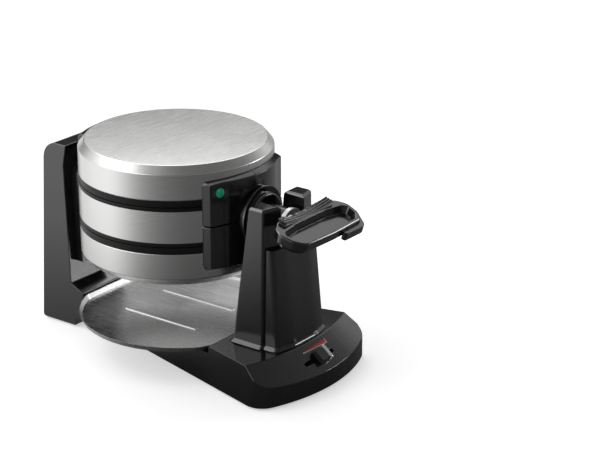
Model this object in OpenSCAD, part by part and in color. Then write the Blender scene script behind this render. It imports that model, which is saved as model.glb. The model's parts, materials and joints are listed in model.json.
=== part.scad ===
// Flip-over double waffle maker: a head with two hinged lids round a fixed core, turned by its handle
// between a rear stand and a forked front post, above a lift-out drip tray.
// X runs from the rear stand to the handle, Z is up, and the table is at zero.

/* [Head] */
// Height of the axis that the head turns about
axis_h = 176.5; // [170:0.5:200]
// Radius of the head's side wall
head_r = 108; // [104:1:114]
// Height of the core's steel band
core_band_h = 35.6; // [32:0.2:44]
// Height of each black ring of the core
core_bezel_h = 4.3; // [3.5:0.1:6]
// Gap between a closed lid and the core
parting_gap = 0.8; // [0.6:0.1:1.2]
// Height of each lid's black ring
lid_bezel_h = 7.5; // [6:0.1:9]
// Height of each lid's steel cap above its ring
cap_h = 37.1; // [32:0.1:42]
// Width of the bevel round the cap's top
cap_bevel_w = 6.4; // [4:0.2:9]
// Height of the bevel round the cap's top
cap_bevel_h = 8.4; // [5:0.2:11]
// Thickness of the steel sheet
sheet_t = 1.2; // [0.8:0.1:1.6]

/* [Waffle plates] */
// Radius of the waffle pocket
waffle_r = 92; // [86:1:94]
// Depth of the pocket in each plate
pocket_d = 12; // [9:0.5:12.5]
// Thickness of the plate under the pocket
plate_t = 3; // [2.4:0.1:3.6]
// Thickness of the plate's outer wall
plate_wall = 5; // [3.5:0.1:5.5]
// Gap between the plate's outer wall and its ring
plate_fit = 0.3; // [0.2:0.05:0.5]
// Spacing of the posts
post_pitch = 19; // [17:0.5:24]
// Width of a post at its foot
post_foot = 12.5; // [9:0.5:14]
// Width of a post at its tip
post_tip = 9.5; // [6:0.5:10]
// Distance of the post tips from the parting plane
tip_back = 2.3; // [2:0.1:4]
// Radius of the heating element's tube
element_r = 3.2; // [2.5:0.1:3.3]
// Radius of the heating element's loop
element_loop_r = 62; // [50:1:75]

/* [Front housings] */
// How far the housings stand out at the middle
housing_out = 8; // [7:0.5:11]
// Height of each housing above the axis
housing_h = 52; // [46:0.5:54]
// Half the housings' width
housing_half_w = 63.5; // [60:0.5:67]
// Drop of the housing's top from the steel to its front
housing_fall = 3.5; // [2:0.5:5]
// Gap between the two housings
housing_seam = 1.4; // [0.8:0.1:2.5]
// Radius of the ready light's lens
lens_r = 4.9; // [4:0.1:6]

/* [Shafts and hub] */
// Radius of the hub's front flange
flange_r = 34.3; // [31:0.1:38]
// Radius of the hub's barrel
barrel_r = 30; // [28:0.1:31]
// Radius of the hub's collar
collar_r = 27; // [22:0.5:28]
// Radius of the front shaft
front_shaft_r = 16; // [13:0.5:17]
// Radius of the rear shaft
rear_shaft_r = 12; // [9:0.5:14]
// Wall of both hollow shafts
shaft_wall = 3; // [2:0.25:4]
// Radial running clearance of a shaft in its bearing
shaft_clear = 0.05; // [0.02:0.01:0.09]
// Wall of the rear bearing bush
bush_wall = 3; // [2:0.25:4]

/* [Lid hinges] */
// How far the hinge covers stand out from the head
hinge_out = 5; // [4:0.5:7]
// Half the hinge covers' width
hinge_half_w = 47; // [42:1:52]
// Height of each hinge pin above or below the axis
pin_rise = 51.5; // [50:0.5:53]
// Distance of each hinge pin inside the head's side
pin_inset = 1; // [0.5:0.1:1.5]
// Radius of the hinge pins
pin_r = 1.6; // [1.3:0.1:1.9]
// Radius of the ears' heads
ear_head_r = 4; // [3.5:0.1:4.4]
// Thickness of an ear
ear_w = 7; // [5:0.5:8]
// Distance from the middle to an ear
ear_y = 18; // [15:0.5:20]

/* [Handle] */
// Distance of the fold pin in front of the fork
fold_gap = 6.5; // [6:0.5:10]
// Tilt of the handle's plane
handle_tilt = 17.2; // [12:0.2:20]
// Half the handle's greatest width
handle_half_w = 60.5; // [54:0.5:64]
// Length of the handle across its rim
handle_len = 48; // [42:0.5:54]
// Height of the rim above the fold pin
rim_rise = 18.5; // [16:0.5:21]
// Depth of the handle from rim to underside
handle_d = 16; // [13:0.5:17]
// Width of the rim round the handle's scoop
rim_w = 5; // [4:0.5:7]
// Depth of the scoop
scoop_d = 8; // [6:0.5:8.5]
// Width of the raised lip along the handle's back
lip_w = 12; // [11:0.5:14]
// How far the lip's ends flare up
lip_sag = 4; // [2:0.5:5]
// Radius of the fold pin
fold_pin_r = 3; // [2.5:0.1:3.5]

/* [Base] */
// Height of the deck
deck_h = 45.5; // [42:0.5:50]
// Drop of the middle deck, which the drip tray lies on
deck_sink = 8.5; // [7:0.5:10]
// Distance from the head's axis to the step up to the front deck
deck_step = 101; // [99:0.5:104]
// Half the width of the narrow middle
waist_half_w = 45; // [42:1:48]
// Half the width at the front of the flared sides
front_half_w = 95; // [88:1:100]
// Radius of the front edge in plan
front_arc_r = 202; // [180:1:230]
// Radius of the two front corners in plan
front_corner_r = 22; // [16:1:28]
// Length of the deck in front of the post's skirt
deck_margin = 3.2; // [2:0.2:6]
// Radius of the deck's front edge
deck_arc_r = 242; // [230:1:260]
// Run of the sloped panel, from the deck's edge out
panel_run = 29; // [26:0.5:32]
// Drop of the sloped panel
panel_drop = 22.5; // [20:0.5:25]
// Wall of the mouldings
wall = 3; // [2.4:0.1:3.6]
// Height of the base above the table
foot_gap = 2; // [1.5:0.1:3]
// Radius of the feet
foot_r = 9; // [7:0.5:11]

/* [Rear stand] */
// Half the width of the rear stand
stand_half_w = 44.5; // [40:0.5:48]
// Depth of the stand at its foot
stand_depth = 46.4; // [42:0.2:52]
// Height of the stand's top above the axis
stand_rise = 43; // [41:0.5:44.5]
// Half the width of the bearing block
block_half_w = 33; // [29:0.5:36]
// How far the bearing block stands out of the stand's foot
block_out = 9; // [8:0.5:11]
// Gap between the head's hinge covers and the bearing block
rear_gap = 3; // [2.6:0.1:3.5]

/* [Front post] */
// Half the width of the fork at its top
fork_half_w = 43; // [40:0.5:46]
// Half the width of the post at the deck
post_half_w = 47; // [45:0.5:50]
// Half the width of the notch that the shaft lies in
notch_half_w = 20.5; // [19.5:0.5:22]
// Height of the fork's top above the axis
fork_rise = 25.8; // [22:0.2:30]
// Depth of a prong from back to front
prong_depth = 20.1; // [18:0.1:23]
// Height of the front cover's top below the axis
cover_drop = 19; // [18:0.5:24]
// How far the front cover bulges at the deck
cover_bulge = 15.8; // [12:0.2:18]
// Height of the skirt round the post's foot
skirt_h = 4; // [3:0.5:6]
// How far the skirt flares out
skirt_out = 3; // [2:0.25:4]

/* [Drip tray] */
// Radius of the tray's round sides
tray_r = 117; // [114.5:0.5:120]
// Gap between the tray's straight edges and the stand's toe and the deck's step
tray_gap = 1.5; // [1:0.1:2.5]
// Height of the tray's rim above the middle deck
tray_h = 6; // [5:0.5:7]
// Run of the tray's sloped wall
tray_border = 3; // [2:0.5:5]
// Thickness of the tray's sheet
tray_t = 1; // [0.8:0.1:1.2]

/* [Browning control] */
// Length of the slot
slot_len = 51; // [44:1:58]
// Width of the slot
slot_w = 5; // [4:0.5:6]
// Width of the slider's knob
knob_w = 13; // [10:0.5:16]
// Length of the knob up the slope
knob_len = 17; // [14:0.5:19]
// Height of the knob above the panel
knob_rise = 7; // [5:0.5:9]

/* [Hidden] */
$fn = 128;

// Colours
steel = [0.78, 0.78, 0.78];
black = [0.07, 0.07, 0.075];
dark = [0.16, 0.16, 0.17];
red = [0.6, 0.05, 0.05];
green = [0.05, 0.5, 0.3];

// Small values that many pieces share
over = 1;
skin = 0.02;
seat_gap = 0.1;
move_gap = 0.3;
arc_steps = 8;
front_steps = 20;

// Head heights, measured from the axis
core_half = core_band_h / 2;
core_top = core_half + core_bezel_h;
lid_low = core_top + parting_gap;
cap_low = lid_low + lid_bezel_h;
head_top = cap_low + cap_h;
parting = core_top + parting_gap / 2;
bevel_low = head_top - cap_bevel_h;
face_r = head_r - cap_bevel_w;
edge_r = 1.6;
plate_r = waffle_r + plate_wall;
bezel_lip_over = 1.5;
bezel_lip_r = waffle_r + bezel_lip_over;
tip_z = core_top - tip_back;
plate_floor = tip_z - pocket_d + tip_back;
plate_back = plate_floor - plate_t;
lid_tip_z = lid_low + tip_back;
lid_floor = lid_tip_z + pocket_d - tip_back;
lid_back = lid_floor + plate_t;
lip_t = 1.8;
cross_w = 3;
post_rim_gap = 3.2;
element_gap = 0.25;
element_arc = 320;
lead_len = 14;
lead_r = 2.2;
shield_t = 0.8;
shield_r = 86;
shield_boss_r = 5;
shield_boss_x = 76;
shield_gap = 9;
lead_share = 0.14;

// Front housings and hub
housing_apex = head_r + housing_out;
housing_low = housing_seam / 2;
housing_front_r = 95.5;
housing_centre_x = housing_apex - housing_front_r;
housing_end_x = sqrt(head_r ^ 2 - housing_half_w ^ 2);
end_face_run = 10.2;
end_face_in = 1.6;
facet_in = 16;
facet_x = housing_end_x + end_face_run;
facet_y = housing_half_w - end_face_in;
facet_turn = asin((facet_y - facet_in) / housing_front_r);
facet_run = housing_centre_x + housing_front_r * cos(facet_turn) - facet_x;
housing_corner_r = 8;
housing_edge_r = 1;
housing_hub_gap = 0.6;
arch_clear = 0.5;
lens_share = 0.7;
lens_proud = 1;
lens_h = 4;
lens_drop = 14.5;
lens_turn = -atan2(facet_run, facet_in);
lens_x = facet_x + facet_run * lens_share;
lens_y = -(facet_y - facet_in * lens_share);
lens_z = housing_h - lens_drop;
lens_ball_r = (lens_r ^ 2 + lens_proud ^ 2) / (2 * lens_proud);
hub_relief = 2.5;
flange_x = housing_apex + housing_hub_gap;
flange_t = 3.9;
collar_len = 4;
collar_bevel = 1.5;

// Lid hinges
pin_x = -(head_r - pin_inset);
cover_r = head_r + hinge_out;
cover_inner_r = face_r + move_gap;
cover_gap_z = 3;
cover_top_bevel = 3;
cover_sink = 5;
cover_top = head_top - cover_sink;
ear_back = 5;
ear_front = 1.6;
ear_back_x = pin_x - ear_back;
ear_front_x = pin_x - ear_front;
slot_side = 0.3;
bridge_rise = 6.5;
pin_half_len = 34;
pin_bore_clear = 0.05;
pin_press = 0.01;
bracket_set = 0.6;
bracket_h = core_top - bracket_set;
pin_end_gap = 1;
knuckle_end = pin_half_len + pin_end_gap;

// Front post
post_gap_top = 24.6;
post_gap_deck = 5;
post_back_top = head_r + post_gap_top;
post_back_deck = head_r + post_gap_deck;
fork_top = axis_h + fork_rise;
post_front = post_back_top + prong_depth;
prong_nose = 6.8;
post_corner_r = 2.5;
post_room_top = axis_h - notch_half_w - wall;
cover_top_z = axis_h - cover_drop;
cover_top_bulge = 5.5;
cover_side_gap = 4;
cover_lap = 2;
cover_shares = [[0, 1], [0.8, 1], [1, 0.5], [1, 0]];
cover_corner_r = 6;
cover_front_r = 50;
bush_gap = 0.1;
cradle_len = 15;
cradle_set = 2;

// Handle
fold_x = post_front + prong_nose + fold_gap;
shaft_end_gap = 12;
yoke_back = 25;
yoke_slot = 6.5;
front_shaft_end = fold_x - shaft_end_gap;
yoke_back_x = fold_x - yoke_back;
yoke_r = 17.5;
yoke_front_x = fold_x - yoke_slot;
yoke_cheek_r = 8.5;
yoke_gap_half = 8.5;
yoke_cheek_w = 6;
knuckle_half_w = 8.2;
knuckle_r = 8;
knuckle_clear = 1;
back_u = -1.5;
front_u = back_u + handle_len;
grip_h = 10;
grip_edge = 1.5;
grip_low = rim_rise - grip_h;
grip_shares = [[0, 0], [0, 0.69], [0.15, 0.88], [0.39, 1], [0.74, 0.95], [0.97, 0.82], [1, 0]];
grip_corner_r = 10;
scoop_shares = [[0, 0], [0, 0.45], [0.12, 0.9], [0.3, 1], [0.72, 0.95], [1, 0.75], [1, 0]];
scoop_corner_r = 5;
scoop_slope = 3;
lip_half_w = handle_half_w * grip_shares[1][1];
ridge_r = 1.2;
ridge_count = 3;
ridge_pitch = (lip_w - 2 * ridge_r) / ridge_count;
under_inset = 3;
under_slope = 2;
tab_out = 5.2;
tab_low = 4.2;
tab_high = 13.6;
tab_start = 15;
tab_back = 12;
tab_corner_r = 3;

// Rear stand
block_face = -(cover_r + rear_gap);
stand_front = block_face - block_out;
stand_back = stand_front - stand_depth;
stand_top = axis_h + stand_rise;
stand_front_lean = 4.6;
stand_back_lean = 13;
stand_lip = 5;
stand_lip_h = 24;
stand_shoulder_r = 20;
stand_foot_r = 4;
stand_toe = 18;
stand_toe_h = 8.5;
stand_foot = 4;
stand_toe_x = stand_front + stand_toe;
arch_h = 11;
block_low = 98.5;
block_edge = 1.5;
rear_bush_len = 16;
rear_shaft_len = 30;
back_cover_t = 2.5;
back_cover_gap = 0.2;
back_cover_low = 8;
back_cover_high = 178;
gland_r = 7;
gland_flange_r = 10;
gland_flange_t = 1.2;
gland_len = 12;
gland_bore_r = 3.6;
gland_z = 30;
back_screw_y = 34;
back_screw_z = [20, 165];

// Base plan
deck_reach = post_front + prong_nose + cover_bulge + skirt_out + deck_margin;
panel_lip = 1;
front_reach = deck_reach + panel_run + panel_lip;
waist_end_x = -23;
flare_len = 194.2;
flare_angle = atan2(front_half_w - waist_half_w, flare_len);
panel_centre_x = deck_reach - deck_arc_r;
panel_slope = atan2(panel_drop, panel_run);
arc_centre_x = front_reach - front_arc_r;
base_arch = 7;
side_draft = 4;
plate_gap = 0.3;
bottom_t = 2.5;
foot_h = 3.5;
foot_set_front = 16.5;
foot_set_side = 25;
foot_set_rear = 30;
foot_front_x = deck_reach - foot_set_front;
foot_front_y = front_half_w - foot_set_side;
foot_rear_x = block_face - foot_set_rear;
foot_rear_y = stand_half_w - foot_set_front;
screw_r = 2;
screw_head_r = 3.8;
screw_head_t = 1.8;
screw_sink = 0.4;
screw_len = 12;
pillar_r = 4.5;
pillar_shares = [[-0.38, 0.36], [0.1, 0.42], [0.52, 0.6], [0.8, 0.42]];

// Browning control
slot_y = -3;
slot_drop = 12.5;
slot_z = deck_h - slot_drop;
stem_w = 8;
stem_t = 3.4;
stem_down = 5;
knob_lift = 0.8;
knob_taper = 3;
trim_t = 4;
trim_proud = 0.9;
scale_len = 41;
scale_wide = 5;
scale_narrow = 1.2;
scale_shift = 1.2;
scale_t = 0.5;
scale_up = 6.4;
scale_y = 1;
pot_h = 8;
pot_w = 62;
pot_d = 12;
pot_drop = 1.4;
pot_floor = 2;
board_t = 1.6;
board_w = 60;
board_d = 34;
board_drop = 7;
board_set = 14.7;
board_x = post_front - board_set;
board_top = deck_h - wall - board_drop;
boss_r = 3.5;
boss_inset = 4;

// Drip tray
tray_x = 4;
tray_back_r = 24;
tray_front_r = 45;
tray_back = tray_x - stand_toe_x - tray_gap;
tray_front = deck_step - tray_gap - tray_x;
tray_steps = 14;
tray_corner_steps = 5;
rib_w = 5;
rib_h = 1;
rib_y = 33;
rib_half_len = 51;

// The row's origin is in the middle of the whole length
tab_reach = (front_u + tab_out) * cos(handle_tilt) + tab_high * sin(handle_tilt);
handle_reach = fold_x + tab_reach;
stand_lean = atan2(stand_back_lean, stand_top - foot_gap);
rear_reach = -stand_back - stand_foot_r * (tan(stand_lean) + 1 / cos(stand_lean) - 1);
head_x = (rear_reach - handle_reach) / 2;

// A vector's direction
function unit(v) = v / norm(v);

// Points along an arc
function arc_points(centre, radius, from, to, steps) = [
  for (i = [0:steps])
    let (a = from + (to - from) * i / steps)
      centre + radius * [cos(a), sin(a)]];

// One corner of an outline, rounded
function round_corner(before, corner, after, radius, steps) =
  let (
    a = unit(before - corner),
    b = unit(after - corner),
    half = acos(max(-1, min(1, a * b))) / 2,
    centre = corner + unit(a + b) * radius / sin(half),
    start = corner + a * radius / tan(half) - centre,
    end = corner + b * radius / tan(half) - centre,
    from = atan2(start[1], start[0]),
    turn = atan2(end[1], end[0]) - from,
    swing = turn > 180 ? turn - 360 : turn < -180 ? turn + 360 : turn
  ) arc_points(centre, radius, from, from + swing, steps);

// An outline with a radius at each of its corners, where zero keeps the corner
function rounded(points, radii, steps) =
  let (n = len(points)) [
    for (i = [0:n - 1])
      each radii[i] == 0 ? [points[i]]
        : round_corner(points[(i + n - 1) % n], points[i], points[(i + 1) % n], radii[i], steps)];

// A list in the opposite order
function backwards(list) = [for (i = [len(list) - 1:-1:0]) list[i]];

// A half outline on the positive side of Y, run from back to front, made whole
function both_sides(half) = concat(
  [for (p = half) [p[0], -p[1]]], [for (p = backwards(half)) if (p[1] > skin) p]);

// A value part of the way from one to another
function mix(a, b, share) = a + (b - a) * share;

// Places a piece drawn about the head's middle, on the table
module on_table() {
  translate([head_x, 0, 0]) children();
}

// Places a piece drawn about the flip axis
module on_axis() {
  translate([head_x, 0, axis_h]) children();
}

// Turns an outline drawn as X and Z into a solid across Y
module across(half_w) {
  rotate([90, 0, 0]) linear_extrude(height = 2 * half_w, center = true) children();
}

// Turns an outline drawn as Y and Z into a solid along X
module along(from_x, to_x) {
  translate([from_x, 0, 0]) rotate([90, 0, 90]) linear_extrude(height = to_x - from_x) children();
}

// A cylinder along X
module rod_x(radius, from_x, to_x) {
  translate([from_x, 0, 0]) rotate([0, 90, 0]) cylinder(r = radius, h = to_x - from_x);
}

// A cylinder along Y, centred
module rod_y(radius, half_len) {
  rotate([90, 0, 0]) cylinder(r = radius, h = 2 * half_len, center = true);
}

// A smooth body between a low and a high outline
module between(low_z, low_points, high_z, high_points) {
  hull() {
    translate([0, 0, low_z]) linear_extrude(height = skin) polygon(low_points);
    translate([0, 0, high_z - skin]) linear_extrude(height = skin) polygon(high_points);
  }
}

// A flat ring
module ring(outer_r, inner_r, low_z, high_z) {
  translate([0, 0, low_z]) difference() {
    cylinder(r = outer_r, h = high_z - low_z);
    translate([0, 0, -over]) cylinder(r = inner_r, h = high_z - low_z + 2 * over);
  }
}

// The rear part of the head within a half width
module rear_sector(half_w, low_z, high_z) {
  translate([-2 * head_r, -half_w, low_z]) cube([2 * head_r, 2 * half_w, high_z - low_z]);
}

// Head: core

module core_band() {
  color(steel) on_axis() ring(head_r, head_r - sheet_t, -core_half, core_half);
}

module core_bezel() {
  ring(head_r, plate_r + plate_fit, core_half, core_top);
  ring(plate_r + plate_fit + skin, bezel_lip_r, tip_z + skin, core_top);
}

module core_upper_bezel() {
  color(black) on_axis() core_bezel();
}

module core_lower_bezel() {
  color(black) on_axis() mirror([0, 0, 1]) core_bezel();
}

// One tapered post of a waffle plate, standing on its foot
module waffle_post(height) {
  linear_extrude(height = height, scale = post_tip / post_foot) square(post_foot, center = true);
}

// A round plate with its outer wall, dividing cross and posts, open upwards
module waffle_pan(height) {
  post_reach = waffle_r - post_rim_gap;
  columns = floor(post_reach / post_pitch);
  cylinder(r = plate_r, h = plate_t);
  ring(plate_r, waffle_r, plate_t - skin, plate_t + height);
  intersection() {
    translate([0, 0, plate_t - skin]) cylinder(r = waffle_r + skin, h = height + skin);
    union() {
      translate([-head_r, -cross_w / 2, plate_t - skin]) cube([2 * head_r, cross_w, height + skin]);
      translate([-cross_w / 2, -head_r, plate_t - skin]) cube([cross_w, 2 * head_r, height + skin]);
    }
  }
  for (i = [-columns:columns - 1], j = [-columns:columns - 1])
    let (x = (i + 0.5) * post_pitch, y = (j + 0.5) * post_pitch)
      if (norm([abs(x) + post_foot / 2, abs(y) + post_foot / 2]) < post_reach)
        translate([x, y, plate_t - skin]) waffle_post(height + skin);
}

module core_plate() {
  translate([0, 0, plate_back]) waffle_pan(tip_z - plate_floor);
}

module core_upper_plate() {
  color(dark) on_axis() core_plate();
}

module core_lower_plate() {
  color(dark) on_axis() mirror([0, 0, 1]) core_plate();
}

// A tubular heating element: an open loop with two leads
module heating_loop() {
  gap_half = (360 - element_arc) / 2;
  rotate([0, 0, gap_half])
    rotate_extrude(angle = element_arc) translate([element_loop_r, 0]) circle(r = element_r);
  for (side = [-1, 1])
    rotate([0, 0, side * gap_half]) translate([element_loop_r, side * lead_r * lead_share, 0])
      rotate([90 * side, 0, 0]) cylinder(r = lead_r, h = lead_len);
}

module core_element() {
  translate([0, 0, plate_back - element_r - element_gap]) heating_loop();
}

module core_upper_element() {
  color(dark) on_axis() core_element();
}

module core_lower_element() {
  color(dark) on_axis() mirror([0, 0, 1]) core_element();
}

// Half of the bracket that holds one lid's ears
module hinge_bracket_half() {
  intersection() {
    ring(cover_r, head_r + seat_gap, -skin, bracket_h);
    rear_sector(hinge_half_w, -over, head_top);
  }
  for (side = [-1, 1])
    translate([0, side * (ear_y + ear_w / 2), 0]) difference() {
      across(ear_w / 2) {
        polygon([[ear_back_x, bracket_h - over], [ear_front_x, bracket_h - over],
          [ear_front_x, pin_rise], [ear_back_x, pin_rise]]);
        translate([pin_x, pin_rise]) circle(r = ear_head_r);
      }
      translate([pin_x, 0, pin_rise]) rod_y(pin_r + pin_press, ear_w);
    }
}

module core_hinge_bracket() {
  color(black) on_axis() difference() {
    union() {
      hinge_bracket_half();
      mirror([0, 0, 1]) hinge_bracket_half();
    }
    rod_x(rear_shaft_r + pin_press, -2 * head_r, 0);
  }
}

module rear_shaft() {
  color(steel) on_axis() difference() {
    rod_x(rear_shaft_r, block_face - rear_shaft_len, -head_r - seat_gap);
    rod_x(rear_shaft_r - shaft_wall, block_face - rear_shaft_len - over, 0);
  }
}

// The hub that carries the head at the front and closes the housings' arch
module front_hub() {
  color(black) on_axis() difference() {
    union() {
      rod_x(barrel_r, 0, flange_x + skin);
      rod_x(flange_r, flange_x, flange_x + flange_t);
      rod_x(collar_r, flange_x + flange_t - skin, flange_x + flange_t + collar_len);
      translate([flange_x + flange_t + collar_len - skin, 0, 0]) rotate([0, 90, 0])
        cylinder(r1 = collar_r, r2 = collar_r - collar_bevel, h = collar_bevel);
    }
    translate([0, 0, -head_top]) cylinder(r = head_r + seat_gap, h = 2 * head_top);
    for (side = [0, 1]) mirror([0, 0, side])
      translate([0, 0, core_top]) cylinder(r = head_r + hub_relief, h = head_top);
    rod_x(front_shaft_r + pin_press, 0, 2 * head_r);
  }
}

module front_shaft() {
  color(steel) on_axis() difference() {
    rod_x(front_shaft_r, head_r + seat_gap, front_shaft_end);
    rod_x(front_shaft_r - shaft_wall, head_r, front_shaft_end + over);
  }
}

module hinge_pin() {
  translate([pin_x, 0, pin_rise]) rod_y(pin_r, pin_half_len);
}

module upper_hinge_pin() {
  color(steel) on_axis() hinge_pin();
}

module lower_hinge_pin() {
  color(steel) on_axis() mirror([0, 0, 1]) hinge_pin();
}

// Head: one lid, drawn for the upper side

module lid_cap() {
  inner = sheet_t;
  difference() {
    rotate_extrude() polygon(concat(
      [[0, head_top]],
      arc_points([face_r - edge_r, head_top - edge_r], edge_r, 90, 40, arc_steps / 2),
      [[head_r, bevel_low], [head_r, cap_low], [head_r - inner, cap_low],
        [head_r - inner, bevel_low - inner / 3], [face_r - inner / 2, head_top - inner],
        [0, head_top - inner]]));
    difference() {
      rear_sector(hinge_half_w + slot_side, cap_low - over, cover_top + slot_side);
      translate([0, 0, cap_low - 2 * over]) cylinder(r = face_r, h = head_top);
    }
  }
}

module upper_lid_cap() {
  color(steel) on_axis() lid_cap();
}

module lower_lid_cap() {
  color(steel) on_axis() mirror([0, 0, 1]) lid_cap();
}

module lid_bezel() {
  ring(head_r, plate_r + plate_fit, lid_low, cap_low);
  ring(plate_r + plate_fit + skin, bezel_lip_r, lid_low, lid_tip_z - skin);
}

module upper_lid_bezel() {
  color(black) on_axis() lid_bezel();
}

module lower_lid_bezel() {
  color(black) on_axis() mirror([0, 0, 1]) lid_bezel();
}

module lid_plate() {
  translate([0, 0, lid_back]) mirror([0, 0, 1]) waffle_pan(lid_floor - lid_tip_z);
  for (side = [-1, 1])
    translate([side * shield_boss_x, 0, lid_back - skin]) cylinder(r = shield_boss_r, h = shield_gap + skin);
}

module upper_lid_plate() {
  color(dark) on_axis() lid_plate();
}

module lower_lid_plate() {
  color(dark) on_axis() mirror([0, 0, 1]) lid_plate();
}

module lid_element() {
  translate([0, 0, lid_back + element_r + element_gap]) heating_loop();
}

module upper_lid_element() {
  color(dark) on_axis() lid_element();
}

module lower_lid_element() {
  color(dark) on_axis() mirror([0, 0, 1]) lid_element();
}

module heat_shield() {
  translate([0, 0, lid_back + shield_gap]) cylinder(r = shield_r, h = shield_t);
}

module upper_heat_shield() {
  color(steel) on_axis() heat_shield();
}

module lower_heat_shield() {
  color(steel) on_axis() mirror([0, 0, 1]) heat_shield();
}

// Half of the housings' plan: end face, facet and round front
function housing_half() = concat(
  [[0, housing_half_w], [housing_end_x, housing_half_w], [facet_x, facet_y]],
  arc_points([housing_centre_x, 0], housing_front_r, facet_turn, 0, front_steps));

module front_housing() {
  difference() {
    intersection() {
      translate([0, 0, housing_low]) linear_extrude(height = housing_h) polygon(both_sides(housing_half()));
      translate([housing_centre_x, 0, 0]) rotate_extrude($fn = 180) polygon([
        [0, 0], [housing_front_r + housing_out, 0],
        [housing_front_r + housing_out, housing_h - 2 * housing_fall],
        [housing_front_r - housing_out, housing_h], [0, housing_h]]);
      along(0, 2 * head_r) polygon(rounded(
        [[-housing_half_w, housing_low], [housing_half_w, housing_low],
          [housing_half_w, housing_h], [-housing_half_w, housing_h]],
        [housing_edge_r, housing_edge_r, housing_corner_r, housing_corner_r], arc_steps));
    }
    translate([0, 0, -over]) cylinder(r = head_r + move_gap, h = lid_low + over);
    cylinder(r = head_r + seat_gap, h = head_top);
    rod_x(barrel_r + arch_clear, 0, 2 * head_r);
    translate([lens_x, lens_y, lens_z]) rotate([0, 90, lens_turn])
      translate([0, 0, -lens_h]) cylinder(r = lens_r + seat_gap, h = 3 * lens_h);
  }
}

module upper_front_housing() {
  color(black) on_axis() front_housing();
}

module lower_front_housing() {
  color(black) on_axis() rotate([180, 0, 0]) front_housing();
}

// The domed lens of the ready light, through the housing's left facet
module ready_light() {
  translate([lens_x, lens_y, lens_z]) rotate([0, 90, lens_turn]) {
    translate([0, 0, -lens_h + seat_gap]) cylinder(r = lens_r, h = lens_h);
    intersection() {
      translate([0, 0, lens_proud - lens_ball_r]) sphere(r = lens_ball_r);
      cylinder(r = lens_r, h = 2 * lens_proud);
    }
  }
}

module upper_ready_light() {
  color(green) on_axis() ready_light();
}

module lower_ready_light() {
  color(green) on_axis() rotate([180, 0, 0]) ready_light();
}

// The cover that swings with a lid, slotted round the core's two ears
module hinge_cover() {
  difference() {
    intersection() {
      union() {
        ring(cover_r, head_r + seat_gap, lid_low + cover_gap_z, cap_low + seat_gap);
        rotate_extrude() polygon([[cover_inner_r, cap_low + seat_gap], [cover_r, cap_low + seat_gap],
          [cover_r, cover_top - cover_top_bevel], [cover_r - cover_top_bevel, cover_top],
          [cover_inner_r, cover_top]]);
      }
      rear_sector(hinge_half_w, 0, head_top);
    }
    for (side = [-1, 1])
      translate([-2 * head_r, side * (ear_y + ear_w / 2) - ear_w / 2 - slot_side, 0])
        cube([2 * head_r, ear_w + 2 * slot_side, pin_rise + bridge_rise]);
    translate([pin_x, 0, pin_rise]) rod_y(pin_r + pin_bore_clear, knuckle_end);
  }
}

module upper_hinge_cover() {
  color(black) on_axis() hinge_cover();
}

module lower_hinge_cover() {
  color(black) on_axis() mirror([0, 0, 1]) hinge_cover();
}

// Handle

module handle_yoke() {
  color(steel) on_axis() difference() {
    union() {
      rod_x(front_shaft_r - shaft_wall - pin_press, yoke_back_x, front_shaft_end + skin);
      rod_x(yoke_r, front_shaft_end, yoke_front_x);
      for (side = [-1, 1])
        translate([0, side * (yoke_gap_half + yoke_cheek_w / 2), 0]) across(yoke_cheek_w / 2) {
          translate([fold_x, 0]) circle(r = yoke_cheek_r);
          translate([front_shaft_end + over, -yoke_cheek_r])
            square([fold_x - front_shaft_end - over, 2 * yoke_cheek_r]);
        }
    }
    translate([fold_x, 0, 0]) rod_y(fold_pin_r + pin_press, yoke_r);
    translate([fold_x, 0, 0]) rod_y(knuckle_r + knuckle_clear, yoke_gap_half);
  }
}

module fold_pin() {
  color(steel) on_axis() translate([fold_x, 0, 0]) rod_y(fold_pin_r, yoke_gap_half + yoke_cheek_w);
}

// Places a piece drawn in the handle's own tilted plane, with the fold pin at its origin
module on_handle() {
  on_axis() translate([fold_x, 0, 0]) rotate([0, handle_tilt, 0]) children();
}

// Half of the handle's outline, drawn inside the real one by an inset
function grip_half(inset) =
  let (length = handle_len - 2 * inset, r = grip_corner_r) rounded(
    [for (s = grip_shares) [back_u + inset + s[0] * length, s[1] * (handle_half_w - inset)]],
    [0, r, r, r, r, r, 0], 3);

// Half of the scoop's outline, between the lip and the front rim
function scoop_half(inset) =
  let (
    back = back_u + lip_w + rim_w / 2,
    length = front_u - rim_w - back - 2 * inset,
    half = handle_half_w - rim_w - inset,
    r = scoop_corner_r
  ) rounded([for (s = scoop_shares) [back + inset + s[0] * length, s[1] * half]],
    [0, r, r, r, r, r, 0], 3);

// The lip along the handle's back, hollowed so that its ends flare up, with its finger ridges
module handle_lip() {
  bow = (lip_half_w ^ 2 + lip_sag ^ 2) / (2 * lip_sag);
  swing = asin(lip_half_w / bow);
  difference() {
    intersection() {
      translate([0, 0, rim_rise - over]) linear_extrude(height = lip_sag + over)
        polygon(both_sides(grip_half(grip_edge)));
      translate([back_u, -lip_half_w, rim_rise - over]) cube([lip_w, 2 * lip_half_w, lip_sag + over]);
    }
    translate([0, 0, rim_rise + bow]) rod_x(bow, back_u - over, back_u + lip_w + over, $fn = 180);
  }
  for (i = [0:ridge_count - 1])
    translate([back_u + 2 * ridge_r + i * ridge_pitch, 0, rim_rise + bow]) rotate([0, 90, 0])
      rotate([0, 0, -swing]) rotate_extrude(angle = 2 * swing, $fn = 180)
        translate([bow, 0]) circle(r = ridge_r, $fn = 24);
}

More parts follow.
